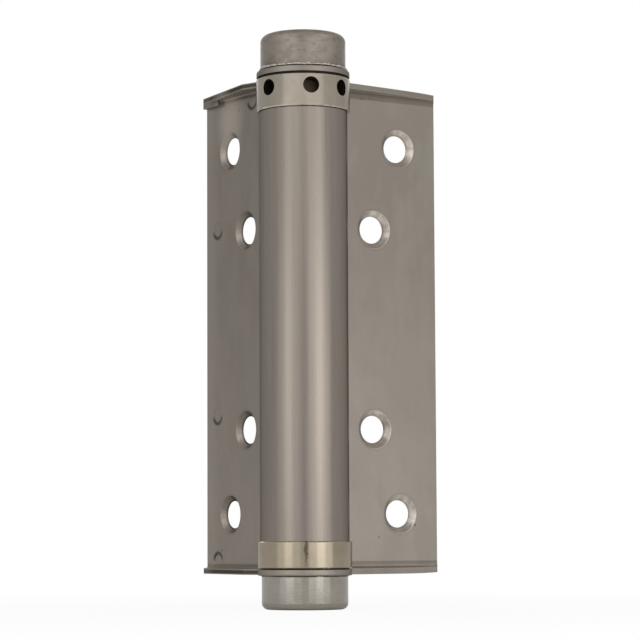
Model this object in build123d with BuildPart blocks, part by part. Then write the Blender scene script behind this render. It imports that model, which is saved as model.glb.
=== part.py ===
"""Single-action spring hinge, 5 inch class, in stainless steel.

Frame: +Z runs up the spindle and the origin lies on it, half way between the two ears.
The frame leaf stands out along +Y and the barrel leaf along +X, a quarter turn apart.
All sizes are in millimetres.
"""
from build123d import *
import os
from math import asin, cos, degrees, radians, sin, sqrt

os.makedirs("parts", exist_ok=True)

# Sheet leaves
LEAF_HEIGHT = 127.0
LEAF_REACH = 47.5
SHEET = 1.5
FRAME_BEND_INSIDE = 0.5
FRAME_BEND_OUTSIDE = 1.35
FRAME_FLANGE_DEEP = 4.3
FRAME_FLANGE_SHALLOW = 1.15
BARREL_BEND_INSIDE = 1.2
BARREL_FLANGE_DEEP = 3.9
BARREL_FLANGE_SHALLOW = 0.1

# Screw holes, countersunk for 5 mm wood screws
INNER_HOLE_REACH = 28.0
OUTER_HOLE_REACH = 35.8
INNER_HOLE_RISE = 26.1
OUTER_HOLE_RISE = 48.0
SCREW_HOLE_DIA = 7.1
SCREW_HEAD_DIA = 10.0
SCREW_HEAD_ANGLE = 90
SCREW_HEAD_EASE = 0.4

# Barrel tube, rolled from the barrel leaf's own sheet and standing proud of the leaf's back
TUBE_DIA = 22.4
TUBE_PROUD = 0.3
ROLL_EASE = 4.0
SEAM_GAP = 0.35
SEAM_RELIEF = 3.4

# Ears and collars, which stand a little outside the tube
EAR_PROUD = 0.6
EAR_EDGE = 0.4
EAR_NECK = 3.0
EAR_NECK_ROUND = 3.5
EAR_NECK_REACH = 18.0
EAR_FLANGE_REACH = 22.5
COLLAR_PROUD = 0.65
COLLAR_EDGE = 0.25
ADJUSTING_COLLAR_HEIGHT = 8.3
ANCHOR_COLLAR_HEIGHT = 6.7
SPIGOT_LENGTH = 9.0
SPIGOT_CLEARANCE = 0.08
PRESS_CLEARANCE = 0.02
LEAF_CLEARANCE = 0.5

# Tommy-bar holes in the adjusting collar
TOMMY_DIA = 4.1
TOMMY_DEPTH = 4.6
TOMMY_DROP = 3.1
TOMMY_COUNT = 7
TOMMY_FIRST_ANGLE = -170.3
TOMMY_DRIFT = 6.0

# Round marks that the press left in the frame leaf's face
MARK_DIA = 4.3
MARK_DEPTH = 0.12
MARK_MARGIN = 0.1
MARK_PLACES = [(24.55, 59.9), (42.0, 27.4), (42.2, -21.9), (42.0, -60.1)]

# Corner lap at the outer end of the frame leaf's upper flange
LAP_LENGTH = 7.4
LAP_DROP = 1.3

# Spindle and its bearings
SPINDLE_DIA = 8.0
SPINDLE_CHAMFER = 0.8
RUNNING_CLEARANCE = 0.05
BUSH_WALL = 1.5
BUSH_SETBACK = 0.6
TOP_WASHER = 0.4
BOTTOM_WASHER = 0.25
WASHER_INSET = 0.3
WASHER_CLEARANCE = 0.3
AXIAL_PLAY = 0.05

# Spindle nuts and the washers under them
NUT_ACROSS_FLATS = 13.0
NUT_HEIGHT = 4.0
SEAT_WASHER = 1.0
SEAT_WASHER_DIA = 16.0
THREAD_SHOWING = 0.8

# Drawn caps, a little narrower than the tube
CAP_INSET = 0.4
CAP_WALL = 0.8
TOP_CAP_HEIGHT = 9.4
BOTTOM_CAP_HEIGHT = 8.4
TOP_CAP_ROUND = 1.9
BOTTOM_CAP_ROUND = 1.6

# Torsion spring of square wire, with the turns of one sweep and how many sweeps follow each other
WIRE = 3.0
SWEEP_TURNS = 3
SPRING_SWEEPS = 7
SPRING_WALL_CLEARANCE = 0.4
SPRING_END_GAP = 0.4
TANG_LENGTH = 5.0
TANG_CLEARANCE = 0.3

# Guide sleeve on the spindle
SLEEVE_WALL = 0.8
SLEEVE_CLEARANCE = 0.1

# Sizes that follow from those above
half_height = LEAF_HEIGHT / 2
ear_face = half_height - SHEET
tube_r = TUBE_DIA / 2
bore_r = tube_r - SHEET
leaf_back = tube_r - TUBE_PROUD
leaf_front = leaf_back - SHEET
ear_r = tube_r + EAR_PROUD
collar_r = tube_r + COLLAR_PROUD
clear_r = max(collar_r, ear_r) + LEAF_CLEARANCE
spindle_r = SPINDLE_DIA / 2
bush_bore_r = spindle_r + RUNNING_CLEARANCE
bush_r = bush_bore_r + BUSH_WALL
collar_bore_r = bush_r + PRESS_CLEARANCE

adjusting_top = ear_face - TOP_WASHER - AXIAL_PLAY
adjusting_bottom = adjusting_top - ADJUSTING_COLLAR_HEIGHT
anchor_bottom = -ear_face + BOTTOM_WASHER + AXIAL_PLAY
anchor_top = anchor_bottom + ANCHOR_COLLAR_HEIGHT
tube_top = adjusting_bottom - 2 * AXIAL_PLAY
tube_length = tube_top - anchor_top
upper_spigot_end = adjusting_bottom - SPIGOT_LENGTH
lower_spigot_end = anchor_top + SPIGOT_LENGTH
tommy_height = adjusting_top - TOMMY_DROP

spring_r = bore_r - SPRING_WALL_CLEARANCE - WIRE / 2
spring_low = lower_spigot_end + SPRING_END_GAP + WIRE / 2
spring_high = upper_spigot_end - SPRING_END_GAP - WIRE / 2

# The barrel leaf's flat begins outside the collars, and its flanges beyond the relief beside them
barrel_flat_start = sqrt(clear_r**2 - leaf_front**2) + SHEET
barrel_flange_start = barrel_flat_start + SEAM_RELIEF
barrel_bend_outside = BARREL_BEND_INSIDE + SHEET
seam_angle = degrees(asin((leaf_front - SEAM_GAP) / tube_r))
back_angle = degrees(asin(leaf_back / tube_r))
front_angle = degrees(asin(leaf_front / bore_r))

hole_places = [
    (INNER_HOLE_REACH, INNER_HOLE_RISE),
    (INNER_HOLE_REACH, -INNER_HOLE_RISE),
    (OUTER_HOLE_REACH, OUTER_HOLE_RISE),
    (OUTER_HOLE_REACH, -OUTER_HOLE_RISE),
]


def save(piece, name):
    """Label a finished piece and write it as a STEP file."""
    piece.part.label = name
    export_step(piece.part, f"parts/{name}.step")


def ring(outer_r, inner_r, low, high):
    """A plain round washer, bush or sleeve about the spindle's axis."""
    with BuildPart() as piece:
        with BuildSketch(Plane.XY.offset(low)):
            Circle(outer_r)
            Circle(inner_r, mode=Mode.SUBTRACT)
        extrude(amount=high - low)
    return piece


def screw_holes(leaf, places):
    """Countersink the screw holes and ease the edge round each one."""
    with Locations(places):
        CounterSinkHole(SCREW_HOLE_DIA / 2, SCREW_HEAD_DIA / 2, SHEET, SCREW_HEAD_ANGLE)
    rims = leaf.edges().filter_by(GeomType.CIRCLE)
    fillet(rims.filter_by(lambda e: abs(e.radius - SCREW_HEAD_DIA / 2) < 0.01), SCREW_HEAD_EASE)


# Barrel leaf: one sheet whose inner edge is rolled almost all the way round into the tube
with BuildPart() as barrel_leaf:
    with BuildSketch(Plane.XY.offset(anchor_top)) as roll:
        with BuildLine():
            seam_out = (tube_r * cos(radians(seam_angle)), tube_r * sin(radians(seam_angle)))
            seam_in = (bore_r * cos(radians(seam_angle)), bore_r * sin(radians(seam_angle)))
            turn_back = (tube_r * cos(radians(back_angle)), leaf_back)
            turn_front = (bore_r * cos(radians(front_angle)), leaf_front)
            CenterArc((0, 0), tube_r, back_angle, 360 + seam_angle - back_angle)
            Line(seam_out, seam_in)
            CenterArc((0, 0), bore_r, front_angle, 360 + seam_angle - front_angle)
            Line(turn_front, (barrel_flange_start, leaf_front))
            Line((barrel_flange_start, leaf_front), (barrel_flange_start, leaf_back))
            Line((barrel_flange_start, leaf_back), turn_back)
        make_face()
        turns = roll.vertices().filter_by(lambda v: v.Y > leaf_front - 0.01 and v.X < seam_in[0])
        fillet(turns, ROLL_EASE)
    extrude(amount=tube_length)
    # Flat outside the collars, lower than the flanges by the relief beside their bends
    with BuildSketch(Plane.XY.offset(-half_height + barrel_bend_outside)):
        with Locations(((barrel_flat_start + barrel_flange_start) / 2, (leaf_front + leaf_back) / 2)):
            Rectangle(barrel_flange_start - barrel_flat_start, SHEET)
    extrude(amount=2 * (half_height - barrel_bend_outside))
    # The rest is a channel, its top and bottom bent over into flanges
    with BuildSketch(Plane.YZ.offset(barrel_flange_start)) as channel:
        with Locations((leaf_back - (SHEET + BARREL_FLANGE_DEEP) / 2, 0)):
            Rectangle(SHEET + BARREL_FLANGE_DEEP, LEAF_HEIGHT)
        with Locations((leaf_front - BARREL_FLANGE_DEEP / 2, 0)):
            Rectangle(BARREL_FLANGE_DEEP, 2 * ear_face, mode=Mode.SUBTRACT)
        fillet(channel.vertices().filter_by(lambda v: abs(v.X - leaf_back) < 0.01), barrel_bend_outside)
        fillet(channel.vertices().filter_by(lambda v: abs(v.X - leaf_front) < 0.01), BARREL_BEND_INSIDE)
    extrude(amount=LEAF_REACH - barrel_flange_start)
    # Its flanges taper away from the barrel
    with BuildSketch(Plane.XY.offset(-half_height)):
        with BuildLine():
            Polyline(
                (barrel_flange_start, leaf_front - BARREL_FLANGE_DEEP),
                (LEAF_REACH, leaf_front - BARREL_FLANGE_SHALLOW),
                (LEAF_REACH, leaf_front - BARREL_FLANGE_DEEP),
                close=True,
            )
        make_face()
    extrude(amount=LEAF_HEIGHT, mode=Mode.SUBTRACT)
    screw_holes(
        barrel_leaf,
        [Plane((reach, leaf_front, rise), x_dir=(1, 0, 0), z_dir=(0, -1, 0)) for reach, rise in hole_places],
    )
save(barrel_leaf, "barrel_leaf")

# Frame leaf: one sheet whose top and bottom edges bend over into flanges and round ears
with BuildPart() as frame_leaf:
    with BuildSketch(Plane.XY.offset(-half_height)):
        with Locations((SHEET / 2, (clear_r + LEAF_REACH) / 2)):
            Rectangle(SHEET, LEAF_REACH - clear_r)
    extrude(amount=LEAF_HEIGHT)
    for level in (-half_height, ear_face):
        with BuildSketch(Plane.XY.offset(level)) as ear:
            Circle(ear_r)
            with BuildLine():
                Polyline(
                    (0, 0),
                    (-EAR_NECK, 0),
                    (-EAR_NECK, EAR_NECK_REACH),
                    (-FRAME_FLANGE_DEEP, EAR_FLANGE_REACH),
                    (-FRAME_FLANGE_SHALLOW, LEAF_REACH),
                    (SHEET, LEAF_REACH),
                    (SHEET, clear_r),
                    (0, clear_r),
                    close=True,
                )
            make_face()
            neck = ear.vertices().filter_by(lambda v: abs(v.X + EAR_NECK) < 0.01 and 0 < v.Y < clear_r)
            fillet(neck, EAR_NECK_ROUND)
            Circle(spindle_r + RUNNING_CLEARANCE, mode=Mode.SUBTRACT)
        extrude(amount=SHEET)
    outer_edges = frame_leaf.edges().filter_by(Axis.Y).filter_by(
        lambda e: abs(e.center().X - SHEET) < 0.01 and abs(abs(e.center().Z) - half_height) < 0.01
    )
    fillet(outer_edges, FRAME_BEND_OUTSIDE)
    inner_edges = frame_leaf.edges().filter_by(Axis.Y).filter_by(
        lambda e: abs(e.center().X) < 0.01 and abs(abs(e.center().Z) - ear_face) < 0.01 and e.length > clear_r
    )
    fillet(inner_edges, FRAME_BEND_INSIDE)
    ear_rims = frame_leaf.edges().filter_by(GeomType.CIRCLE).filter_by(
        lambda e: abs(e.radius - ear_r) < 0.01 and abs(abs(e.center().Z) - half_height) < 0.01
    )
    fillet(ear_rims, EAR_EDGE)
    # Small lap where the upper flange was tucked in at the leaf's outer corner
    with BuildSketch(Plane.XY.offset(ear_face)):
        with Locations((-FRAME_FLANGE_SHALLOW / 2, LEAF_REACH - LAP_LENGTH / 2)):
            Rectangle(FRAME_FLANGE_SHALLOW, LAP_LENGTH)
    extrude(amount=-LAP_DROP)
    screw_holes(
        frame_leaf,
        [Plane((0, reach, rise), x_dir=(0, 1, 0), z_dir=(-1, 0, 0)) for reach, rise in hole_places],
    )
    # The marks end where the bends begin
    mark_limit = ear_face - FRAME_BEND_INSIDE - MARK_MARGIN
    with BuildSketch(Plane.YZ):
        with Locations(MARK_PLACES):
            Circle(MARK_DIA / 2)
        with Locations((LEAF_REACH / 2, 0)):
            Rectangle(LEAF_REACH, 2 * mark_limit, mode=Mode.INTERSECT)
    extrude(amount=MARK_DEPTH, mode=Mode.SUBTRACT)
save(frame_leaf, "frame_leaf")


def spigot_slot(level, direction):
    """Cut the slot that a spring tang sits in, open to the spigot's end and side."""
    width = WIRE + 2 * TANG_CLEARANCE
    inner = spring_r - WIRE / 2 - TANG_CLEARANCE
    with BuildSketch(Plane.XY.offset(level)) as slot:
        with Locations(((inner + bore_r) / 2, 0)):
            Rectangle(bore_r - inner, width)
    extrude(slot.sketch, amount=direction * (TANG_LENGTH + TANG_CLEARANCE), mode=Mode.SUBTRACT)


# Adjusting collar: a turned ring with a spigot that runs in the tube's mouth
with BuildPart() as adjusting_collar:
    with BuildSketch(Plane.XY.offset(adjusting_bottom)):
        Circle(collar_r)
    extrude(amount=ADJUSTING_COLLAR_HEIGHT)
    chamfer(adjusting_collar.edges().filter_by(GeomType.CIRCLE), COLLAR_EDGE)
    with BuildSketch(Plane.XY.offset(upper_spigot_end)):
        Circle(bore_r - SPIGOT_CLEARANCE)
    extrude(amount=SPIGOT_LENGTH)
    with BuildSketch(Plane.XY.offset(upper_spigot_end)):
        Circle(collar_bore_r)
    extrude(amount=adjusting_top - upper_spigot_end, mode=Mode.SUBTRACT)
    spigot_slot(upper_spigot_end, 1)
    for index in range(TOMMY_COUNT):
        drift = TOMMY_DRIFT if index == 1 else 0
        angle = TOMMY_FIRST_ANGLE + index * 360 / TOMMY_COUNT + drift
        outward = (cos(radians(angle)), sin(radians(angle)), 0)
        mouth = (outward[0] * collar_r, outward[1] * collar_r, tommy_height)
        with BuildSketch(Plane(mouth, x_dir=(0, 0, 1), z_dir=outward)):
            Circle(TOMMY_DIA / 2)
        extrude(amount=-TOMMY_DEPTH, mode=Mode.SUBTRACT)
save(adjusting_collar, "adjusting_collar")

# Anchor collar: the same form without holes, pressed into the tube's lower end
with BuildPart() as anchor_collar:
    with BuildSketch(Plane.XY.offset(anchor_bottom)):
        Circle(collar_r)
    extrude(amount=ANCHOR_COLLAR_HEIGHT)
    chamfer(anchor_collar.edges().filter_by(GeomType.CIRCLE), COLLAR_EDGE)
    with BuildSketch(Plane.XY.offset(anchor_top)):
        Circle(bore_r - PRESS_CLEARANCE)
    extrude(amount=SPIGOT_LENGTH)
    with BuildSketch(Plane.XY.offset(anchor_bottom)):
        Circle(collar_bore_r)
    extrude(amount=lower_spigot_end - anchor_bottom, mode=Mode.SUBTRACT)
    spigot_slot(lower_spigot_end, -1)
save(anchor_collar, "anchor_collar")

# Torsion spring: square wire on a left-hand helix, so that shutting the leaves closes the coil,
# with a straight tang into each collar's slot. A few turns are swept at a time, for simpler faces.
sweep_height = (spring_high - spring_low) / SPRING_SWEEPS
with BuildPart() as torsion_spring:
    for index in range(SPRING_SWEEPS):
        sweep_low = spring_low + index * sweep_height
        with BuildLine() as coil:
            Helix(
                pitch=sweep_height / SWEEP_TURNS,
                height=sweep_height,
                radius=spring_r,
                center=(0, 0, sweep_low),
                lefthand=True,
            )
        with BuildSketch(Plane((spring_r, 0, sweep_low), x_dir=(1, 0, 0), z_dir=(0, 1, 0))):
            Rectangle(WIRE, WIRE)
        sweep(path=coil.wires()[0], is_frenet=True)
    for level, direction in ((spring_high, 1), (spring_low, -1)):
        with BuildSketch(Plane.XY.offset(level)):
            with Locations((spring_r, 0)):
                Rectangle(WIRE, WIRE)
        extrude(amount=direction * (WIRE / 2 + SPRING_END_GAP + TANG_LENGTH - TANG_CLEARANCE))
save(torsion_spring, "torsion_spring")

# Bearings
top_bush = ring(bush_r, bush_bore_r, upper_spigot_end + BUSH_SETBACK, adjusting_top - BUSH_SETBACK)
save(top_bush, "top_bush")
bottom_bush = ring(bush_r, bush_bore_r, anchor_bottom + BUSH_SETBACK, lower_spigot_end - BUSH_SETBACK)
save(bottom_bush, "bottom_bush")
washer_r = tube_r - WASHER_INSET
washer_bore_r = spindle_r + WASHER_CLEARANCE
top_thrust_washer = ring(washer_r, washer_bore_r, ear_face - TOP_WASHER, ear_face)
save(top_thrust_washer, "top_thrust_washer")
bottom_thrust_washer = ring(washer_r, washer_bore_r, -ear_face, -ear_face + BOTTOM_WASHER)
save(bottom_thrust_washer, "bottom_thrust_washer")
guide_sleeve = ring(
    spindle_r + SLEEVE_CLEARANCE + SLEEVE_WALL,
    spindle_r + SLEEVE_CLEARANCE,
    lower_spigot_end + BUSH_SETBACK,
    upper_spigot_end - BUSH_SETBACK,
)
save(guide_sleeve, "guide_sleeve")

# Spindle, with a nut and a seat washer at each end under the caps
nut_seat = half_height + SEAT_WASHER
spindle_end = nut_seat + NUT_HEIGHT + THREAD_SHOWING
with BuildPart() as spindle:
    with BuildSketch(Plane.XY.offset(-spindle_end)):
        Circle(spindle_r)
    extrude(amount=2 * spindle_end)
    chamfer(spindle.edges().filter_by(GeomType.CIRCLE), SPINDLE_CHAMFER)
save(spindle, "spindle")
for name, side in (("top", 1), ("bottom", -1)):
    seat_washer = ring(
        SEAT_WASHER_DIA / 2,
        spindle_r + RUNNING_CLEARANCE,
        min(side * half_height, side * nut_seat),
        max(side * half_height, side * nut_seat),
    )
    save(seat_washer, f"{name}_seat_washer")
    with BuildPart() as spindle_nut:
        with BuildSketch(Plane.XY.offset(side * nut_seat)):
            RegularPolygon(NUT_ACROSS_FLATS / 2, 6, major_radius=False)
            Circle(spindle_r + PRESS_CLEARANCE, mode=Mode.SUBTRACT)
        extrude(amount=side * NUT_HEIGHT)
    save(spindle_nut, f"{name}_spindle_nut")

# Caps: drawn cups standing on the ears, open towards them
for name, side, height, crown in (
    ("top_cap", 1, TOP_CAP_HEIGHT, TOP_CAP_ROUND),
    ("bottom_cap", -1, BOTTOM_CAP_HEIGHT, BOTTOM_CAP_ROUND),
):
    with BuildPart() as cap:
        with BuildSketch(Plane.XY.offset(side * half_height)):
            Circle(tube_r - CAP_INSET)
        extrude(amount=side * height)
        closed_end = cap.faces().sort_by(Axis.Z)[-1 if side > 0 else 0]
        fillet(closed_end.edges(), crown)
        open_end = cap.faces().sort_by(Axis.Z)[0 if side > 0 else -1]
        offset(amount=-CAP_WALL, openings=open_end)
    save(cap, name)
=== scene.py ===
# %% [markdown]
# # A stainless steel spring hinge
#
# This lesson dresses a measured model of a single-action spring hinge. The model already has every
# piece at its real size, so nothing is moved here: each cell adds a finish, a small modelled detail,
# the light or the camera. The hinge stands on its lower cap with its two leaves a quarter turn apart.

# %% Load the measured hinge
import math

import bmesh
import bpy
from mathutils import Matrix, Vector, noise


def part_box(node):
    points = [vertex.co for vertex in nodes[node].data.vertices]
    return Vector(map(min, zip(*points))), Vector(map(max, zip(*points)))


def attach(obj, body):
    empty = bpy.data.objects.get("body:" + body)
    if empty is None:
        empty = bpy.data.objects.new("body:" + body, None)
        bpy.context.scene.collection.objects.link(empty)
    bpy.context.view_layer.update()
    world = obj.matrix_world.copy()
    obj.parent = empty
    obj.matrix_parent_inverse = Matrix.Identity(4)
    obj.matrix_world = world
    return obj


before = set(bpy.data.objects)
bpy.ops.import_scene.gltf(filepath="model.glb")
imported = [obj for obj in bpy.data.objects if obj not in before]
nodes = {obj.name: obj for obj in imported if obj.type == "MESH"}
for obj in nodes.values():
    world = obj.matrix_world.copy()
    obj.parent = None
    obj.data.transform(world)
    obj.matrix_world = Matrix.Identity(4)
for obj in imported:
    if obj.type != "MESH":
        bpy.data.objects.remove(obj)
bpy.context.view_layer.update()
print("pieces in the hinge:", ", ".join(sorted(nodes)))

# %% [markdown]
# ## Sizes taken from the hinge itself
#
# A finish often depends on where a feature lies: a countersink has a grey of its own, and a sheared
# edge is duller than the sheet. The places are read from the boxes of the pieces, so they follow the
# model, and the few that a box can't give are written in millimetres. A place on a leaf is its reach
# from the spindle and its rise above the hinge's middle.

# %% Key sizes in millimetres
MM = 0.001
SHEET = 1.5
ADJUSTING_COLLAR_HEIGHT = 8.3
SPIGOT_LENGTH = 9.0
TOMMY_DROP = 3.1
HOLE_RADIUS = 3.55
SINK_RADIUS = 5.0
MARK_RADIUS = 2.15

# The screw holes lie as far below the middle as above it, and the press marks don't
HOLE_PLACES = [(28.0, 26.1), (35.8, 48.0)]
MARK_PLACES = [(24.55, 59.9), (42.0, 27.4), (42.2, -21.9), (42.0, -60.1)]
# A painted reflection of the light from above lies about this place on the frame leaf, this wide
REFLECTION_PLACE = (36.0, 56.0)
REFLECTION_RADIUS = 9.0

# Which way the camera looks, in degrees, and the side of the spindle that faces it
AZIMUTH = -32.963
ELEVATION = -4.746
FRONT_ANGLE = AZIMUTH - 90


def box_mm(node):
    """Lowest and highest corners of a piece, in millimetres."""
    low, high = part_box(node)
    return [v / MM for v in low], [v / MM for v in high]


leaf_low, leaf_high = box_mm("frame_leaf")
anchor_low, anchor_high = box_mm("anchor_collar")
adjusting_top = box_mm("adjusting_collar")[1][2]
half_height = leaf_high[2]
leaf_reach = leaf_high[1]
ear_radius = -leaf_low[0]
tube_radius = -box_mm("barrel_leaf")[0][0]
cap_radius = -box_mm("top_cap")[0][0]
collar_radius = -anchor_low[0]
collar_foot = adjusting_top - ADJUSTING_COLLAR_HEIGHT
tommy_height = adjusting_top - TOMMY_DROP
anchor_face = anchor_high[2] - SPIGOT_LENGTH
floor_height = box_mm("bottom_cap")[0][2]
print("half height", round(half_height, 2), "tube radius", round(tube_radius, 2))

# %% [markdown]
# ## Colours and nodes
#
# Colours are written as the sRGB hex values that a picture editor shows, and Blender's shaders work in
# linear light, so one function turns the first into the second. A second function adds a node, and
# every finish below is built with it, so each kind of node is named where it is used. Math works on
# numbers, and its MULTIPLY_ADD multiplies by the second input and adds the third. Map Range turns a
# distance into a share: 0 at its second input, 1 at its third, and smooth between. Mix blends by a
# share, with two numbers in its sockets 2 and 3, or two colours in 6 and 7. A share says how much of
# something there is at a point, so it is also called a mask.

# %% Colours in linear light, and one function that adds a node
SMOOTH = {"interpolation_type": "SMOOTHSTEP"}
COLOURS = {"data_type": "RGBA", "out": 2}


def linear(hex_colour):
    """An sRGB hex colour as the linear RGBA that a shader takes."""
    parts = [int(hex_colour[i : i + 2], 16) / 255 for i in (1, 3, 5)]
    curve = [c / 12.92 if c <= 0.04045 else ((c + 0.055) / 1.055) ** 2.4 for c in parts]
    return (*curve, 1.0)


def add(tree, kind, *inputs, out=0, **settings):
    """Add one shader node and return one of its outputs, the first unless out says another.

    The inputs fill its sockets in order, or by number or name where they come as a dictionary. Each is a
    plain value or another node's output. The settings are the node's own, such as operation="ADD".
    """
    node = tree.nodes.new("ShaderNode" + kind)
    for name, value in settings.items():
        setattr(node, name, value)
    by_key = inputs and isinstance(inputs[0], dict)
    sockets = inputs[0] if by_key else dict(enumerate(inputs))
    for key, value in sockets.items():
        if isinstance(value, bpy.types.NodeSocket):
            tree.links.new(value, node.inputs[key])
        else:
            node.inputs[key].default_value = value
    return node.outputs[out]


WHITE = linear("#ffffff")
print("mid grey check:", [round(c, 3) for c in linear("#808080")])

# %% [markdown]
# ## What several finishes share
#
# Most marks on a worn hinge are one of a few things: a band at a certain height, a ring round a hole, a
# cloudy patch, or one of these only where another is too. Each gets a short function, named for the
# mark. Blender's noise changes about once in each unit, which here is a metre, so the place on the
# piece is turned into millimetres first, and a cloud's size can be written as it would be measured.

# %% Masks, clouds and the two ends of a finish
RELIEF_DEPTH = 0.02
CLOUD_ROUGHNESS = 0.55


def distance(tree, across, up):
    """How far off a point is, from two offsets at right angles."""
    squares = [add(tree, "Math", offset, 2.0, operation="POWER") for offset in (across, up)]
    return add(tree, "Math", add(tree, "Math", *squares, operation="ADD"), operation="SQRT")


def window(tree, value, centre, half, soft):
    """1 within half of centre, falling to 0 over the soft stretch outside it."""
    offset = add(tree, "Math", value, centre, operation="SUBTRACT")
    away = add(tree, "Math", offset, operation="ABSOLUTE")
    return add(tree, "MapRange", away, half + soft, half, **SMOOTH)


def overlap(tree, mask, *others):
    """The share left where several masks lie over each other, which is their product."""
    for other in others:
        mask = add(tree, "Math", mask, other, operation="MULTIPLY")
    return mask


def paint(tree, mask, strength, under, over):
    """Lay a hex colour over another where a mask is, as strongly as a share from 0 to 1 says."""
    share = add(tree, "Math", mask, strength, operation="MULTIPLY")
    return add(tree, "Mix", {0: share, 6: under, 7: linear(over)}, **COLOURS)


def mottle(tree, place, stretch, detail=3.0):
    """Cloudy noise from 0 to 1 whose spots are about as long as stretch says, in millimetres."""
    squeeze = tuple(1 / length for length in stretch)
    cells = add(tree, "VectorMath", place, squeeze, operation="MULTIPLY")
    sockets = {"Vector": cells, "Scale": 1.0, "Detail": detail, "Roughness": CLOUD_ROUGHNESS}
    return add(tree, "TexNoise", sockets, out="Fac")


def start_finish(name):
    """A new material, its nodes and its shader, and the place on the piece in millimetres."""
    material = bpy.data.materials.new(name)
    material.use_nodes = True
    tree = material.node_tree
    shader = tree.nodes["Principled BSDF"]
    place = add(tree, "TexCoord", out="Object")
    place = add(tree, "VectorMath", {0: place, "Scale": 1 / MM}, operation="SCALE")
    return material, tree, shader, place


def close_metal(tree, shader, colour, rough, edge_radius, height, strength):
    """Give a metal its colour and roughness, and a fine relief over edges rounded by a small radius."""
    tree.links.new(colour, shader.inputs["Base Color"])
    tree.links.new(rough, shader.inputs["Roughness"])
    shader.inputs["Metallic"].default_value = 1.0
    rounded = add(tree, "Bevel", {"Radius": edge_radius * MM}, samples=4)
    relief = {"Strength": strength, "Distance": RELIEF_DEPTH * MM, "Height": height, "Normal": rounded}
    tree.links.new(add(tree, "Bump", relief), shader.inputs["Normal"])


def wear_finish(material, *pieces):
    """Give carried-over pieces one finish in place of the plain one."""
    for piece in pieces:
        mesh = nodes[piece].data
        mesh.materials.clear()
        mesh.materials.append(material)
    print(material.name, "is on", ", ".join(pieces))


print("relief depth", RELIEF_DEPTH, "mm")

# %% [markdown]
# ## Cold-rolled stainless sheet
#
# Both leaves are one kind of sheet: austenitic stainless steel with a dull cold-rolled surface, bent
# in a press and tumbled. The eye sees a warm grey that drifts slowly from place to place, and only a
# veil of reflection. A metal's colour is its base colour, so the drift goes there, and the veil comes
# from roughness. The two leaves were handled differently, so what differs is written as two sets of
# values, and one function dresses both.

# %% How the two leaves' finishes differ
SHEET_DARK = "#999087"
SHEET_LIGHT = "#b0a69c"
SHEET_OLIVE = "#a09c90"
SHEET_SHEEN = "#b4b4b4"
RIM_SHADE = "#6f675f"
TORN_EDGE = "#4a4239"
BEND_SHADE = "#5c5249"
# Dirt in pits and burrs, and painted shade in arcs round the press marks
GRIME_AND_SHADE = "#4d453e"
TUBE_DARK = "#948b82"
TUBE_LIGHT = "#a79e94"
# A light steel for the leaf's painted reflection and for a lighter strip down its outer edge
REFLECTION_AND_STRIP_STEEL = "#c9c0b5"

# How long the spots of each pattern are along X, Y and Z, in millimetres. The real grain of the sheet
# is finer than the picture can show, so here it is drawn as coarse as it needs to be.
BROAD_CLOUDS = (11, 11, 24)
FINE_STAINS = (3, 3, 7)
FILM_PATCHES = (7, 7, 20)
CUTTER_MARKS = (1.6, 1.6, 1.6)
RUB_STREAKS = (1.3, 1.3, 45.0)
HAIRLINES = (0.5, 0.5, 30.0)
ROLLED_GRAIN = (0.35, 0.35, 6.0)

# along is 0 for a leaf that reaches along X and 1 for one along Y, and face is where its front lies.
# The value after face sets how fast the sheet is painted darker upwards, a painted shade for more light
# low down, and lift says how far a countersink's painted highlight turns up.
# burr and torn say how strongly those marks show. Each speck is a reach, a rise and a radius.
FRAME_LOOK = {
    "along": 1,
    "face": 0.0,
    "painted_upward_shade": -0.006,
    "lift": -0.4,
    "sink_shade": "#8a8178",
    "sink_highlight": "#a39a90",
    "sink_rough": 0.42,
    "burr": 0.65,
    "torn": 0.85,
    "bend_shade_half": 0.35,
    "flange_painted_light": "#a89f95",
    "specks": [(31.1, 58.3, 0.35), (40.0, -57.4, 0.25)],
}
BARREL_LOOK = {
    "along": 0,
    "face": 9.4,
    "painted_upward_shade": -0.011,
    "lift": 0.75,
    "sink_shade": "#aaa197",
    "sink_highlight": "#fbf2e6",
    "sink_rough": 0.34,
    "burr": 0.25,
    "torn": 0.05,
    "bend_shade_half": 0.7,
    "flange_painted_light": "#ddd4c9",
    "specks": [
        (24.2, 60.3, 0.25),
        (25.0, 60.4, 0.22),
        (26.7, 60.6, 0.2),
        (29.0, -54.0, 0.25),
        (40.5, -50.9, 0.3),
    ],
}
print("specks on the leaves:", len(FRAME_LOOK["specks"]), "and", len(BARREL_LOOK["specks"]))

# %% [markdown]
# ## Marks that lie at a place on the sheet
#
# A countersink, a press mark and a pit are each a pattern about a point, so each starts from the
# distance to that point. A picture stretched over the leaf would be quicker to lay, but it would blur
# close up, and these stay sharp and follow the model's own sizes.

# %% Holes, press marks and specks
LIT_ACROSS = 0.75
SPECK_SOFT = 0.15


def nearest_hole(tree, reach, rise, lift):
    """Distance to the nearest screw hole's axis, and how far beyond it on the painted highlight's side.
    """
    side = add(tree, "Math", rise, operation="SIGN")
    upward = add(tree, "Math", side, lift, operation="MULTIPLY")
    height = add(tree, "Math", rise, operation="ABSOLUTE")
    distances = []
    beyond = []
    for hole_reach, hole_rise in HOLE_PLACES:
        across = add(tree, "Math", reach, hole_reach, operation="SUBTRACT")
        up = add(tree, "Math", height, hole_rise, operation="SUBTRACT")
        climb = add(tree, "Math", up, upward, operation="MULTIPLY")
        distances.append(distance(tree, across, up))
        beyond.append(add(tree, "Math", across, LIT_ACROSS, climb, operation="MULTIPLY_ADD"))
    nearer = add(tree, "Math", *distances, operation="LESS_THAN")
    nearest = add(tree, "Math", *distances, operation="MINIMUM")
    return nearest, add(tree, "Mix", {0: nearer, 2: beyond[1], 3: beyond[0]})


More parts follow.
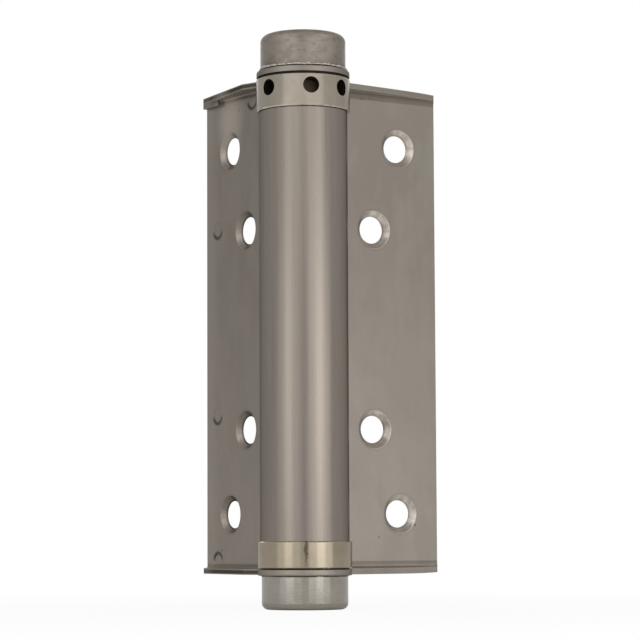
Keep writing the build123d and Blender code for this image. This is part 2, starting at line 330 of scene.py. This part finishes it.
def press_mark_shade(tree, reach, rise):
    """Painted shade in arcs round the press marks: under each one, but over the lowest, by the lower
    bend.
    """
    marks = 0.0
    for mark_reach, mark_rise in MARK_PLACES:
        across = add(tree, "Math", reach, mark_reach, operation="SUBTRACT")
        up = add(tree, "Math", rise, mark_rise, operation="SUBTRACT")
        rim = window(tree, distance(tree, across, up), MARK_RADIUS - 0.1, half=0.28, soft=0.40)
        side = 1 if mark_rise > -half_height / 2 else -1
        arc = add(tree, "MapRange", up, 0.6 * side, -1.2 * side, **SMOOTH)
        marks = add(tree, "Math", marks, overlap(tree, rim, arc), operation="MAXIMUM")
    return marks


def specks(tree, reach, rise, places):
    """Small dark pits, each given by its reach, rise and radius."""
    pits = 0.0
    for pit_reach, pit_rise, radius in places:
        across = add(tree, "Math", reach, pit_reach, operation="SUBTRACT")
        up = add(tree, "Math", rise, pit_rise, operation="SUBTRACT")
        away = distance(tree, across, up)
        pit = add(tree, "MapRange", away, radius + SPECK_SOFT, radius - SPECK_SOFT, **SMOOTH)
        pits = add(tree, "Math", pits, pit, operation="MAXIMUM")
    return pits


print("screw holes:", 4 * len(HOLE_PLACES), "press marks:", len(MARK_PLACES))

# %% [markdown]
# ## Dressing the two leaves
#
# The finish is laid down layer by layer. First comes the skin of the sheet, then the countersinks,
# which were cut, with a painted highlight on one side, painted shade on the other and a dark burr at
# the hole's own edge. Shearing tore the flanges' edges, painted shade darkens the bends brown, and
# painted light brightens the flanges' inner faces. Last come the years of use and more painted light:
# the rolled tube was rubbed along its length, so it is smoother and streaked, and the other leaf gets
# a painted reflection near its top, a lighter strip down its outer edge and painted shade round its
# press marks. Each layer is a mask and a colour, so any of them can be taken off alone.

# %% Sheet finish for the two leaves
SHEET_EDGE = 0.22
SINK_SOFT = 0.2
EDGE_SOFT = 0.1
TORN_LINE = 0.45 * SHEET
BEND_GAP = 0.3
STRIP_START = 7.0
STRIP_FULL = 2.0
PATCH_SQUASH = 0.7

# The flanges' marks come in part way out along an ear, between these shares of its radius
MARKS_START = 0.55
MARKS_FULL = 0.75


def sheet_skin(tree, spot, look):
    """Grey drifting in broad clouds and fine stains, painted darker upwards as shade, under olive film
    patches.
    """
    clouds = mottle(tree, spot["place"], BROAD_CLOUDS, detail=4)
    stains = mottle(tree, spot["place"], FINE_STAINS, detail=5)
    # Painted shade: the sheet is painted darker the higher it rises
    painted_upward_shade = add(tree, "Math", spot["rise"], look["painted_upward_shade"], -0.15, operation="MULTIPLY_ADD")
    broad = add(tree, "Math", clouds, 1.1, painted_upward_shade, operation="MULTIPLY_ADD")
    fine = add(tree, "Math", stains, 0.5, -0.25, operation="MULTIPLY_ADD")
    shade = add(tree, "Math", broad, fine, operation="ADD", use_clamp=True)
    colour = add(tree, "Mix", {0: shade, 6: linear(SHEET_DARK), 7: linear(SHEET_LIGHT)}, **COLOURS)
    film = add(tree, "MapRange", mottle(tree, spot["place"], FILM_PATCHES), 0.45, 0.62, **SMOOTH)
    colour = paint(tree, film, 0.5, colour, SHEET_OLIVE)
    return colour, add(tree, "Math", clouds, 0.12, 0.32, operation="MULTIPLY_ADD")


def countersinks(tree, spot, look, colour, rough):
    """Uneven cut cones, lit and shaded by paint on opposite sides, with a faint rim and a dark burr at
    the hole.
    """
    hole, outward = nearest_hole(tree, spot["reach"], spot["rise"], look["lift"])
    cone = add(tree, "MapRange", hole, SINK_RADIUS + SINK_SOFT, SINK_RADIUS - SINK_SOFT, **SMOOTH)
    cone = overlap(tree, cone, spot["fore"])
    ragged = mottle(tree, spot["place"], CUTTER_MARKS, detail=4)
    ragged = add(tree, "MapRange", ragged, 0.38, 0.62, **SMOOTH)
    ragged = add(tree, "Math", ragged, 0.5, 0.5, operation="MULTIPLY_ADD")
    # Painted highlight on one side of each countersink, painted shade on the other
    bright = overlap(tree, add(tree, "MapRange", outward, -2.0, 3.5, **SMOOTH), ragged)
    ends = {6: linear(look["sink_shade"]), 7: linear(look["sink_highlight"])}
    steel = add(tree, "Mix", {0: bright, **ends}, **COLOURS)
    colour = add(tree, "Mix", {0: cone, 6: colour, 7: steel}, **COLOURS)
    rim = window(tree, hole, SINK_RADIUS + 0.3, half=0.05, soft=0.35)
    colour = paint(tree, overlap(tree, rim, spot["fore"]), 0.12, colour, RIM_SHADE)
    burr = window(tree, hole, HOLE_RADIUS, half=0.22, soft=0.2)
    colour = paint(tree, burr, look["burr"], colour, GRIME_AND_SHADE)
    return colour, add(tree, "Mix", {0: cone, 2: rough, 3: look["sink_rough"]})


def flange_marks(tree, spot, look, colour, rough):
    """Torn edges, painted shade by the bends, painted light on the flanges' inner faces, none near the
    spindle.
    """
    flange = half_height - SHEET
    height = add(tree, "Math", spot["rise"], operation="ABSOLUTE")
    upward = add(tree, "SeparateXYZ", add(tree, "NewGeometry", out="Normal"), out=2)
    level = add(tree, "Math", upward, operation="ABSOLUTE")
    ends = (ear_radius * MARKS_START, ear_radius * MARKS_FULL)
    outside = add(tree, "MapRange", spot["reach"], *ends, **SMOOTH)

    # Shearing left a dark torn line about half way through the sheet
    edge = add(tree, "MapRange", height, flange - EDGE_SOFT, flange + EDGE_SOFT, **SMOOTH)
    cut = overlap(tree, edge, add(tree, "MapRange", level, 0.35, 0.1, **SMOOTH), outside)
    torn = overlap(tree, cut, window(tree, height, half_height - TORN_LINE, half=0.3, soft=0.25))
    colour = paint(tree, torn, look["torn"], colour, TORN_EDGE)
    rough = add(tree, "Mix", {0: cut, 2: rough, 3: 0.45})

    # Painted shade darkens the sheet brown beside each bend
    half = look["bend_shade_half"]
    bend = window(tree, height, flange - half - BEND_GAP, half=half, soft=BEND_GAP)
    bend = overlap(tree, bend, outside)
    colour = paint(tree, bend, 0.45, colour, BEND_SHADE)

    # Painted light: each flange's inner face is painted light, to brighten the dark corner beside it
    inner = window(tree, height, flange, half=0.08, soft=0.12)
    inner = overlap(tree, inner, add(tree, "MapRange", level, 0.5, 0.9, **SMOOTH), outside)
    colour = paint(tree, inner, 1.0, colour, look["flange_painted_light"])
    return colour, add(tree, "Mix", {0: inner, 2: rough, 3: 0.6})


def rolled_tube(tree, spot, colour, rough):
    """The tube rolled from the leaf's inner edge, rubbed smooth in streaks along its length."""
    axes = add(tree, "SeparateXYZ", spot["place"]).node.outputs
    radius = distance(tree, axes[0], axes[1])
    barrel = add(tree, "MapRange", radius, tube_radius + 0.4, tube_radius + 0.1, **SMOOTH)
    streaks = mottle(tree, spot["place"], RUB_STREAKS)
    hairlines = mottle(tree, spot["place"], HAIRLINES, detail=2)
    broad = add(tree, "Math", streaks, 0.8, 0.1, operation="MULTIPLY_ADD")
    fine = add(tree, "Math", hairlines, 0.5, -0.25, operation="MULTIPLY_ADD")
    shade = add(tree, "Math", broad, fine, operation="ADD", use_clamp=True)
    rubbed_and_reflection = add(tree, "Mix", {0: shade, 6: linear(TUBE_DARK), 7: linear(TUBE_LIGHT)}, **COLOURS)
    smooth = add(tree, "Math", streaks, 0.10, 0.23, operation="MULTIPLY_ADD")
    colour = add(tree, "Mix", {0: barrel, 6: colour, 7: rubbed_and_reflection}, **COLOURS)
    return colour, add(tree, "Mix", {0: barrel, 2: rough, 3: smooth})


def leaf_reflection_and_marks(tree, spot, colour):
    """A painted reflection above the top outer hole, a lighter strip down the outer edge, then press mark
    shade.
    """
    across = add(tree, "Math", spot["reach"], REFLECTION_PLACE[0], operation="SUBTRACT")
    up = add(tree, "Math", spot["rise"], REFLECTION_PLACE[1], operation="SUBTRACT")
    away = distance(tree, across, add(tree, "Math", up, PATCH_SQUASH, operation="MULTIPLY"))
    rubbed_and_reflection = overlap(tree, add(tree, "MapRange", away, REFLECTION_RADIUS, 1.0, **SMOOTH), 0.8)
    ends = (leaf_reach - STRIP_START, leaf_reach - STRIP_FULL)
    strip = overlap(tree, add(tree, "MapRange", spot["reach"], *ends, **SMOOTH), 0.22)
    reflection_and_strip = add(tree, "Math", rubbed_and_reflection, strip, operation="MAXIMUM")
    colour = paint(tree, reflection_and_strip, 1.0, colour, REFLECTION_AND_STRIP_STEEL)
    marks = overlap(tree, press_mark_shade(tree, spot["reach"], spot["rise"]), spot["fore"])
    return paint(tree, marks, 0.7, colour, GRIME_AND_SHADE)


def sheet_finish(name, look):
    """Cold-rolled sheet for one leaf, layer by layer."""
    material, tree, shader, place = start_finish(name)
    axes = add(tree, "SeparateXYZ", place).node.outputs
    depth = add(tree, "Math", axes[1 - look["along"]], look["face"], operation="SUBTRACT")
    fore = add(tree, "MapRange", depth, SHEET - 0.01, SHEET - 0.05, **SMOOTH)
    spot = {"place": place, "reach": axes[look["along"]], "rise": axes[2], "fore": fore}
    colour, rough = sheet_skin(tree, spot, look)
    colour, rough = countersinks(tree, spot, look, colour, rough)
    colour, rough = flange_marks(tree, spot, look, colour, rough)
    pits = specks(tree, spot["reach"], spot["rise"], look["specks"])
    colour = paint(tree, overlap(tree, pits, fore), 0.6, colour, GRIME_AND_SHADE)
    if look is BARREL_LOOK:
        colour, rough = rolled_tube(tree, spot, colour, rough)
    else:
        colour = leaf_reflection_and_marks(tree, spot, colour)
    grain = mottle(tree, place, ROLLED_GRAIN, detail=2)
    height = add(tree, "Math", grain, 0.35, operation="MULTIPLY")
    shader.inputs["Specular Tint"].default_value = linear(SHEET_SHEEN)
    close_metal(tree, shader, colour, rough, SHEET_EDGE, height, 0.25)
    return material


wear_finish(sheet_finish("cold_rolled_steel_frame_leaf", FRAME_LOOK), "frame_leaf")
wear_finish(sheet_finish("cold_rolled_steel_barrel_leaf", BARREL_LOOK), "barrel_leaf")

# %% [markdown]
# ## Turned steel
#
# Everything round was turned, spun or polished about the spindle, which leaves fine lines that run
# round it. Lines that go round need a measure of the way round, so the angle about the spindle is
# worked out from X and Y, and noise is stretched long that way and squeezed in height. The lines are
# finer on the real steel than the picture can show, so here they are drawn as coarse as they need to be.

# %% One finish for all that was turned
LINE_LENGTH = 9.0
LINE_PITCH = 0.16
POLISH_CLOUDS = (3.2, 3.2, 4.0)
TURNED_EDGE = 0.15


def turned_finish(name, dark, light, rough_low, rough_span, scratch, extra=None):
    """Metal with fine lines round it. Scratch says how strongly they show, and extra adds marks."""
    material, tree, shader, place = start_finish(name)
    east, north, rise = add(tree, "SeparateXYZ", place).node.outputs
    angle = add(tree, "Math", north, east, operation="ARCTAN2")
    around = add(tree, "Math", angle, cap_radius / LINE_LENGTH, operation="MULTIPLY")
    up = add(tree, "Math", rise, 1 / LINE_PITCH, operation="MULTIPLY")
    wound = add(tree, "CombineXYZ", around, up)
    lines = add(tree, "TexNoise", {"Vector": wound, "Scale": 1.0, "Detail": 3.0}, out="Fac")
    clouds = mottle(tree, place, POLISH_CLOUDS, detail=5)
    broad = add(tree, "Math", clouds, 0.9, -0.05, operation="MULTIPLY_ADD")
    fine = add(tree, "Math", lines, scratch, -0.5 * scratch, operation="MULTIPLY_ADD")
    shade = add(tree, "Math", broad, fine, operation="ADD", use_clamp=True)
    colour = add(tree, "Mix", {0: shade, 6: linear(dark), 7: linear(light)}, **COLOURS)
    rough = add(tree, "Math", clouds, rough_span, rough_low, operation="MULTIPLY_ADD")
    if extra:
        colour, rough = extra(tree, place, colour, rough)
    close_metal(tree, shader, colour, rough, TURNED_EDGE, lines, 0.5 * scratch)
    return material


print("lines round the turned steel:", LINE_LENGTH, "mm long and", LINE_PITCH, "mm apart")

# %% [markdown]
# ## The two collars
#
# Both collars are turned from bar and polished, so they mirror the lamps more sharply than the sheet
# does, with a warm sheen that is straw-coloured on the lower one. Polishing misses the tommy holes, so
# they keep their dirt, and they are painted with shade too. The sharp edge at the collar's foot, which
# a maker calls its arris, gets a painted highlight. The lower collar has a smear of old grease down its
# front.

# %% Polished collars
ARRIS_HALF = 0.12
BORE_HALF = 2.3
ARRIS_HIGHLIGHT = "#efe7da"
BORE_DIRT_AND_SHADE = "#5a5043"
OLD_GREASE = "#4f4030"
ARRIS_PATCHES = (3, 3, 3)
SMEAR_EDGE = (1.2, 1.2, 1.2)

# The smear is whole down to the first depth under the collar's face and has faded out at the second
SMEAR_WHOLE = 3.0
SMEAR_GONE = 7.5
SMEAR_WANDER = 7.0


def way_round(tree, place):
    """The angle about the spindle in degrees, 0 towards the camera and growing to its right."""
    front = math.radians(FRONT_ANGLE)
    forward = (math.cos(front), math.sin(front), 0)
    sideways = (-math.sin(front), math.cos(front), 0)
    ahead = add(tree, "VectorMath", place, forward, operation="DOT_PRODUCT", out="Value")
    aside = add(tree, "VectorMath", place, sideways, operation="DOT_PRODUCT", out="Value")
    return add(tree, "Math", add(tree, "Math", aside, ahead, operation="ARCTAN2"), operation="DEGREES")


def dark_bores(tree, place, colour, rough):
    """Oil and dirt no cloth reaches, plus painted shade, in the tommy holes, and a painted highlight on
    the arris.
    """
    east, north, rise = add(tree, "SeparateXYZ", place).node.outputs
    radius = distance(tree, east, north)
    deep = add(tree, "MapRange", radius, collar_radius - 0.25, collar_radius - 0.6, **SMOOTH)
    bores = overlap(tree, deep, window(tree, rise, tommy_height, half=BORE_HALF, soft=0.3))
    patchy = add(tree, "MapRange", mottle(tree, place, ARRIS_PATCHES), 0.35, 0.65, **SMOOTH)
    arris = window(tree, rise, collar_foot + ARRIS_HALF, half=ARRIS_HALF, soft=ARRIS_HALF)
    # Dirt and painted shade inside the tommy holes
    colour = paint(tree, bores, 1.0, colour, BORE_DIRT_AND_SHADE)
    # Painted highlight along the arris at the collar's foot
    colour = paint(tree, overlap(tree, arris, patchy), 0.8, colour, ARRIS_HIGHLIGHT)
    return colour, add(tree, "Mix", {0: bores, 2: rough, 3: 0.5})


def collar_smear(tree, place, colour, rough):
    """A brown smear of old grease down the front of the lower collar."""
    rise = add(tree, "SeparateXYZ", place, out=2)
    wander = mottle(tree, place, SMEAR_EDGE, detail=4)
    wander = add(tree, "Math", wander, SMEAR_WANDER, -SMEAR_WANDER / 2, operation="MULTIPLY_ADD")
    angle = add(tree, "Math", way_round(tree, place), wander, operation="ADD")
    upper = add(tree, "MapRange", rise, anchor_face - SMEAR_GONE, anchor_face - SMEAR_WHOLE, **SMOOTH)
    smear = overlap(tree, window(tree, angle, 1.5, half=1.0, soft=1.6), upper)
    colour = paint(tree, smear, 0.75, colour, OLD_GREASE)
    return colour, add(tree, "Mix", {0: smear, 2: rough, 3: 0.4})


collar_steel = turned_finish(
    "polished_collar_steel", dark="#a9a092", light="#bdb3a5",
    rough_low=0.16, rough_span=0.08, scratch=0.12, extra=dark_bores,
)
straw_steel = turned_finish(
    "polished_straw_collar_steel", dark="#a99d8a", light="#c4b8a3",
    rough_low=0.14, rough_span=0.06, scratch=0.12, extra=collar_smear,
)
wear_finish(collar_steel, "adjusting_collar")
wear_finish(straw_steel, "anchor_collar")

# %% [markdown]
# ## The two caps
#
# The caps were drawn from sheet and spun against a cloth. The top one is duller, with a foot streaked
# dark where it was pressed down, and the bottom one was spun brighter and mirrors the room. Two columns
# of short nicks, one above another, show where the spinning tool rested on it.

# %% Drawn and spun caps
TICK_PITCH = 0.85
TICK_ANGLES = (-27, -6)
TICK_HALVES = (2.5, 2.0)
TICK_SHINE = "#e4ddd2"
FOOT_SMUDGE = "#6f665d"
FOOT_STREAK = "#685f56"
NICK_PATCHES = (0.9, 0.9, 0.5)
STREAKS = (1.6, 1.6, 0.35)
SMUDGES = (2.4, 2.4, 1.3)

# Heights above the ear: the worn foot fades out between the first two, on a line that noise makes
# wander, and the dull crown comes in between the last two
FOOT_WHOLE = 0.7
FOOT_GONE = 2.3
FOOT_WANDER = 3.2
CROWN_START = 6.5
CROWN_FULL = 8.5


def worn_foot(tree, place, colour, rough):
    """The top cap's smudges, its dull crown and its foot, streaked dark where it was pressed down."""
    rise = add(tree, "SeparateXYZ", place, out=2)
    ragged = mottle(tree, place, STREAKS, detail=5)
    wander = add(tree, "Math", ragged, FOOT_WANDER, -FOOT_WANDER / 2, operation="MULTIPLY_ADD")
    edge = add(tree, "Math", rise, wander, operation="ADD")
    foot = add(tree, "MapRange", edge, half_height + FOOT_GONE, half_height + FOOT_WHOLE, **SMOOTH)
    streak = overlap(tree, foot, add(tree, "MapRange", ragged, 0.4, 0.6, **SMOOTH))
    smudge = mottle(tree, place, SMUDGES, detail=5)
    smudge = add(tree, "MapRange", smudge, 0.48, 0.66, **SMOOTH)
    ends = (half_height + CROWN_START, half_height + CROWN_FULL)
    crown = add(tree, "MapRange", rise, *ends, **SMOOTH)
    colour = paint(tree, smudge, 0.4, colour, FOOT_SMUDGE)
    colour = paint(tree, streak, 0.55, colour, FOOT_STREAK)
    rough = add(tree, "Mix", {0: crown, 2: rough, 3: 0.55})
    return colour, add(tree, "Mix", {0: foot, 2: rough, 3: 0.42})


def tick_marks(tree, place, colour, rough):
    """Short level nicks in two columns, left by the tool that spun the bottom cap."""
    rise = add(tree, "SeparateXYZ", place, out=2)
    degrees = way_round(tree, place)
    turns = add(tree, "Math", rise, 2 * math.pi / TICK_PITCH, operation="MULTIPLY")
    wave = add(tree, "Math", turns, operation="SINE")
    crests = add(tree, "MapRange", wave, 0.72, 0.95, **SMOOTH)
    patchy = add(tree, "MapRange", mottle(tree, place, NICK_PATCHES), 0.42, 0.58, **SMOOTH)
    columns = [window(tree, degrees, at, half, soft=2.0) for at, half in zip(TICK_ANGLES, TICK_HALVES)]
    columns = add(tree, "Math", *columns, operation="MAXIMUM")
    ticks = overlap(tree, crests, patchy, columns)
    return paint(tree, ticks, 0.35, colour, TICK_SHINE), rough


top_cap_steel = turned_finish(
    "drawn_steel_top_cap", dark="#8a8279", light="#aea69c",
    rough_low=0.34, rough_span=0.14, scratch=0.35, extra=worn_foot,
)
bottom_cap_steel = turned_finish(
    "drawn_steel_bottom_cap", dark="#a69f96", light="#c6bfb5",
    rough_low=0.08, rough_span=0.07, scratch=0.45, extra=tick_marks,
)
wear_finish(top_cap_steel, "top_cap")
wear_finish(bottom_cap_steel, "bottom_cap")

# %% [markdown]
# ## The pieces inside
#
# The spring, spindle, nuts, bushes and sleeve hardly show, but each has a real finish, because the
# hinge may be opened up or cut away later. The square spring wire is oil-tempered and dark brown, the
# spindle, nuts and seat washers are bright unplated steel, the bushes are sintered bronze, and the
# thrust washers and the guide sleeve are black nylon.

# %% Finishes for the inner pieces
NYLON_GRAIN = (0.5, 0.5, 0.5)
NYLON_DARK = "#14110e"
NYLON_LIGHT = "#231e19"
spring_wire = turned_finish(
    "oil_tempered_spring_wire", dark="#4a443d", light="#6b635a",
    rough_low=0.38, rough_span=0.12, scratch=0.3,
)
spindle_steel = turned_finish(
    "bright_spindle_steel", dark="#a5a3a0", light="#bebcb8",
    rough_low=0.22, rough_span=0.10, scratch=0.4,
)
bronze = turned_finish(
    "sintered_bronze_bush", dark="#8d6a3c", light="#a98450",
    rough_low=0.42, rough_span=0.14, scratch=0.2,
)
nylon, nylon_tree, nylon_shader, nylon_place = start_finish("black_nylon_washer")
grain = mottle(nylon_tree, nylon_place, NYLON_GRAIN, detail=4)
black = add(nylon_tree, "Mix", {0: grain, 6: linear(NYLON_DARK), 7: linear(NYLON_LIGHT)}, **COLOURS)
nylon_tree.links.new(black, nylon_shader.inputs["Base Color"])
nylon_shader.inputs["Roughness"].default_value = 0.55
nylon_shader.inputs["IOR"].default_value = 1.53
wear_finish(spindle_steel, "spindle", "top_spindle_nut", "bottom_spindle_nut")
wear_finish(spindle_steel, "top_seat_washer", "bottom_seat_washer")
wear_finish(spring_wire, "torsion_spring")
wear_finish(bronze, "top_bush", "bottom_bush")
wear_finish(nylon, "top_thrust_washer", "bottom_thrust_washer", "guide_sleeve")

# %% [markdown]
# ## The ragged beads at the caps
#
# Where each cap meets its ear the joint is not clean: the cap's foot was pressed and tacked on, and a
# thin, ragged bead of bright metal runs round it. A torus would look too even, so the bead is built
# ring by ring in a mesh, and noise makes it thicker here and thinner there. A short one of the same
# kind is the burr that turning left at the lower collar's foot.

# %% Ragged beads round the joints
BEAD_STEP = 0.22
BEAD_SIDES = 8
THINNEST = 0.25
END_TAPER = 0.6
LUMP_SCALE = 0.9
DRIFT_SCALE = 1.7
DRIFT_OUT = 0.5
DRIFT_UP = 0.4
CREASE_SHADE = "#3f3831"


def bead_crease_shade(tree, place, colour, rough):
    """Painted shade in the crease where a bead meets its ear."""
    rise = add(tree, "SeparateXYZ", place, out=2)
    height = add(tree, "Math", rise, operation="ABSOLUTE")
    crease = window(tree, height, half_height, half=0.22, soft=0.12)
    return paint(tree, crease, 0.85, colour, CREASE_SHADE), rough


bead_metal = turned_finish(
    "bright_bead_metal", dark="#a0978d", light="#f2ebe0",
    rough_low=0.20, rough_span=0.25, scratch=0.6, extra=bead_crease_shade,
)


def bead_ring(mesh, radius, height, thickness, unevenness, angle, taper):
    """One ring of points about the bead's middle line, as thick and as far off it as noise says."""
    around = Vector((math.cos(angle), math.sin(angle), 0))
    seat = around * radius * LUMP_SCALE
    lump = noise.fractal(seat + Vector((0, 0, height)), 1.0, 2.0, 4)
    drift = noise.noise(seat * DRIFT_SCALE + Vector((5, 2, height)))
    size = max(THINNEST, 1 + unevenness * lump) * thickness * taper
    ring = []
    for side in range(BEAD_SIDES):
        turn = 2 * math.pi * side / BEAD_SIDES
        out = radius + unevenness * drift * thickness * DRIFT_OUT + size * math.cos(turn)
        up = height + unevenness * lump * thickness * DRIFT_UP + size * math.sin(turn)
        ring.append(mesh.verts.new((around.x * out * MM, around.y * out * MM, up * MM)))
    return ring


def ragged_bead(name, body, radius, height, thickness, unevenness, start=0, end=360):
    """A thin, uneven bead of metal about the spindle, between two angles in degrees."""
    sweep = math.radians(end - start)
    closed = abs(end - start) >= 360
    steps = max(12, int(abs(sweep) * radius / BEAD_STEP))
    mesh = bmesh.new()
    rings = []
    for step in range(steps if closed else steps + 1):
        angle = math.radians(start) + sweep * step / steps
        along = min(max(step / steps, 0.02), 0.98)
        taper = 1.0 if closed else math.sin(math.pi * along) ** END_TAPER
        rings.append(bead_ring(mesh, radius, height, thickness, unevenness, angle, taper))
    following = rings[1:] + rings[:1] if closed else rings[1:]
    for ring, ahead in zip(rings, following):
        for side in range(BEAD_SIDES):
            after = (side + 1) % BEAD_SIDES
            mesh.faces.new((ring[side], ahead[side], ahead[after], ring[after]))
    if not closed:
        mesh.faces.new(list(reversed(rings[0])))
        mesh.faces.new(rings[-1])
    bmesh.ops.recalc_face_normals(mesh, faces=mesh.faces)
    data = bpy.data.meshes.new(name)
    mesh.to_mesh(data)
    mesh.free()
    for face in data.polygons:
        face.use_smooth = True
    data.materials.append(bead_metal)
    piece = bpy.data.objects.new(name, data)
    bpy.context.scene.collection.objects.link(piece)
    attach(piece, body)
    print(name, len(data.polygons), "faces")


ragged_bead(
    "top_cap_bead", "frame",
    radius=cap_radius + 0.02, height=half_height + 0.42, thickness=0.34, unevenness=1.0,
)
ragged_bead(
    "bottom_cap_bead", "frame",
    radius=cap_radius - 0.02, height=-half_height - 0.14, thickness=0.12, unevenness=0.8,
)
ragged_bead(
    "collar_burr", "barrel",
    radius=collar_radius - 0.2, height=anchor_low[2] + 0.2, thickness=0.16, unevenness=1.0,
    start=FRONT_ANGLE + 17, end=FRONT_ANGLE + 36,
)

# %% [markdown]
# ## Floor and surround
#
# The hinge stands on a plain white floor in a plain white surround. The camera sees both as white,
# which Light Path's Is Camera Ray gives without any more light on the steel. Steel shows its surround
# more than its own colour, so the surround that it mirrors is what shapes it. White all round would
# hide the hinge's form, so the steel mirrors a dimmer grey with only a small share of that white in it,
# as in a real studio, where grey cloth stands beside the lamps. Near the hinge the floor keeps a little
# of its own shading, and that is its shadow.

# %% Floor and surround
FLOOR_MIRRORED = 0.05
SURROUND_MIRRORED = 0.02
FLOOR_PAINT = "#e4e4e4"
DIM_SURROUND = "#c0c0c0"

# FLOOR_HALF is in metres. The shadow begins to fade at the first of the next two distances from the
# spindle and is gone at the second, both in millimetres.
FLOOR_HALF = 6.0
SHADOW_START = 40
SHADOW_END = 240
SHADOW_WHITE = 0.93


def white_for_camera(tree, lit, glossy_share):
    """How far a ray sees plain white: all of it for the camera, and a share of it for reflections."""
    path = add(tree, "LightPath").node.outputs
    seen = add(tree, "Math", path["Is Camera Ray"], path["Is Transmission Ray"], operation="MAXIMUM")
    mirrored = add(tree, "Math", path["Is Glossy Ray"], glossy_share, operation="MULTIPLY")
    return overlap(tree, add(tree, "Math", seen, mirrored, operation="MAXIMUM"), lit)


floor_mesh = bpy.data.meshes.new("floor")
corners = [(-1, -1), (1, -1), (1, 1), (-1, 1)]
floor_mesh.from_pydata([(x * FLOOR_HALF, y * FLOOR_HALF, 0) for x, y in corners], [], [(0, 1, 2, 3)])
floor = bpy.data.objects.new("floor", floor_mesh)
floor.location.z = floor_height * MM
bpy.context.scene.collection.objects.link(floor)
floor_paint, floor_tree, floor_shader, floor_place = start_finish("matt_white_floor")
floor_shader.inputs["Base Color"].default_value = linear(FLOOR_PAINT)
floor_shader.inputs["Roughness"].default_value = 0.9
away = add(floor_tree, "VectorMath", floor_place, operation="LENGTH", out="Value")
sockets = {0: away, 1: SHADOW_START, 2: SHADOW_END, 3: SHADOW_WHITE, 4: 1.0}
share = white_for_camera(floor_tree, add(floor_tree, "MapRange", sockets, **SMOOTH), FLOOR_MIRRORED)
glow = add(floor_tree, "Emission", WHITE, 1.0)
mix = add(floor_tree, "MixShader", share, floor_shader.outputs[0], glow)
floor_tree.links.new(mix, floor_tree.nodes["Material Output"].inputs["Surface"])
floor_mesh.materials.append(floor_paint)

world = bpy.data.worlds.new("studio_surround")
bpy.context.scene.world = world
world.use_nodes = True
surround = world.node_tree
surround.nodes.clear()
dim = add(surround, "Background", linear(DIM_SURROUND), 1.0)
white = add(surround, "Background", WHITE, 1.0)
share = white_for_camera(surround, 1.0, SURROUND_MIRRORED)
mix = add(surround, "MixShader", share, dim, white)
outlet = surround.nodes.new("ShaderNodeOutputWorld")
surround.links.new(mix, outlet.inputs["Surface"])
print("floor at", round(floor_height, 2), "mm")

# %% [markdown]
# ## Lamps
#
# Each side of the camera there is a wide soft screen with a narrower lamp before its middle, and those
# draw the two bright bands down the tube, with the darker line between them. Higher screens light the
# upper half of the tube and the flat leaves, and one behind keeps the leaves' backs from going dark.
# A lamp's power grows with its size here, so that brightness alone says how bright it looks.

# %% Soft lamps
SCREEN_DISTANCE = 700
LAMP_DISTANCE = 690


def soft_lamp(name, turn, spread, low, high, brightness, stand_off=SCREEN_DISTANCE):
    """A lamp facing the spindle: degrees to the camera's right, degrees wide, and between two heights."""
    angle = math.radians(AZIMUTH + turn)
    lamp = bpy.data.lights.new(name, "AREA")
    lamp.shape = "RECTANGLE"
    lamp.size = 2 * stand_off * math.tan(math.radians(spread / 2)) * MM
    lamp.size_y = (high - low) * MM
    lamp.energy = brightness * math.pi * lamp.size * lamp.size_y
    piece = bpy.data.objects.new(name, lamp)
    middle = Vector((math.sin(angle) * stand_off, -math.cos(angle) * stand_off, (low + high) / 2))
    piece.location = middle * MM
    facing = -Vector((piece.location.x, piece.location.y, 0)).normalized()
    piece.rotation_euler = facing.to_track_quat("-Z", "Y").to_euler()
    piece.visible_camera = False
    bpy.context.scene.collection.objects.link(piece)
    print(name, "power", round(lamp.energy, 3), "W")


soft_lamp("left_screen", turn=-40, spread=60, low=-70, high=100, brightness=0.42)
soft_lamp("left_lamp", turn=-40, spread=20, low=-70, high=100, brightness=0.68, stand_off=LAMP_DISTANCE)
soft_lamp("right_screen", turn=40, spread=60, low=-70, high=100, brightness=0.77)
soft_lamp("right_lamp", turn=40, spread=20, low=-70, high=100, brightness=0.84, stand_off=LAMP_DISTANCE)
soft_lamp("front_fill", turn=0, spread=100, low=100, high=280, brightness=0.34)
soft_lamp("upper_right_fill", turn=50, spread=80, low=280, high=700, brightness=0.85)
soft_lamp("upper_left_fill", turn=-40, spread=60, low=280, high=700, brightness=1.1)
soft_lamp("back_fill", turn=180, spread=60, low=200, high=600, brightness=1.0)

# %% [markdown]
# ## The camera
#
# The camera is worked out from the hinge: how far away it stands, which way it looks, and how long its
# lens is. It looks up a little from below, and its frame is shifted slightly, as a photographer does
# with a view camera, so that the hinge lies where it should without turning the camera.

# %% Camera at the photograph's angle
DISTANCE = 649.716 * MM
LENS = 145.18
SENSOR = 36.0
ROLL = math.radians(-0.232)
SHIFT = (0.02506, 0.00328)
turn = math.radians(AZIMUTH)
lift = math.radians(ELEVATION)
back = Vector((math.sin(turn) * math.cos(lift), -math.cos(turn) * math.cos(lift), math.sin(lift)))
level_right = Vector((math.cos(turn), math.sin(turn), 0))
level_up = back.cross(level_right)
right = level_right * math.cos(ROLL) + level_up * math.sin(ROLL)
up = level_up * math.cos(ROLL) - level_right * math.sin(ROLL)
camera = bpy.data.objects.new("camera", bpy.data.cameras.new("camera"))
camera.data.lens = LENS
camera.data.sensor_width = SENSOR
camera.data.shift_x, camera.data.shift_y = SHIFT
camera.data.clip_start = 0.01
camera.data.dof.use_dof = False
facing = Matrix((right, up, back)).transposed().to_4x4()
camera.matrix_world = Matrix.Translation(back * DISTANCE) @ facing
bpy.context.scene.collection.objects.link(camera)
bpy.context.scene.camera = camera
bpy.context.scene.view_settings.view_transform = "Standard"
print("camera at", [round(v, 4) for v in camera.location])
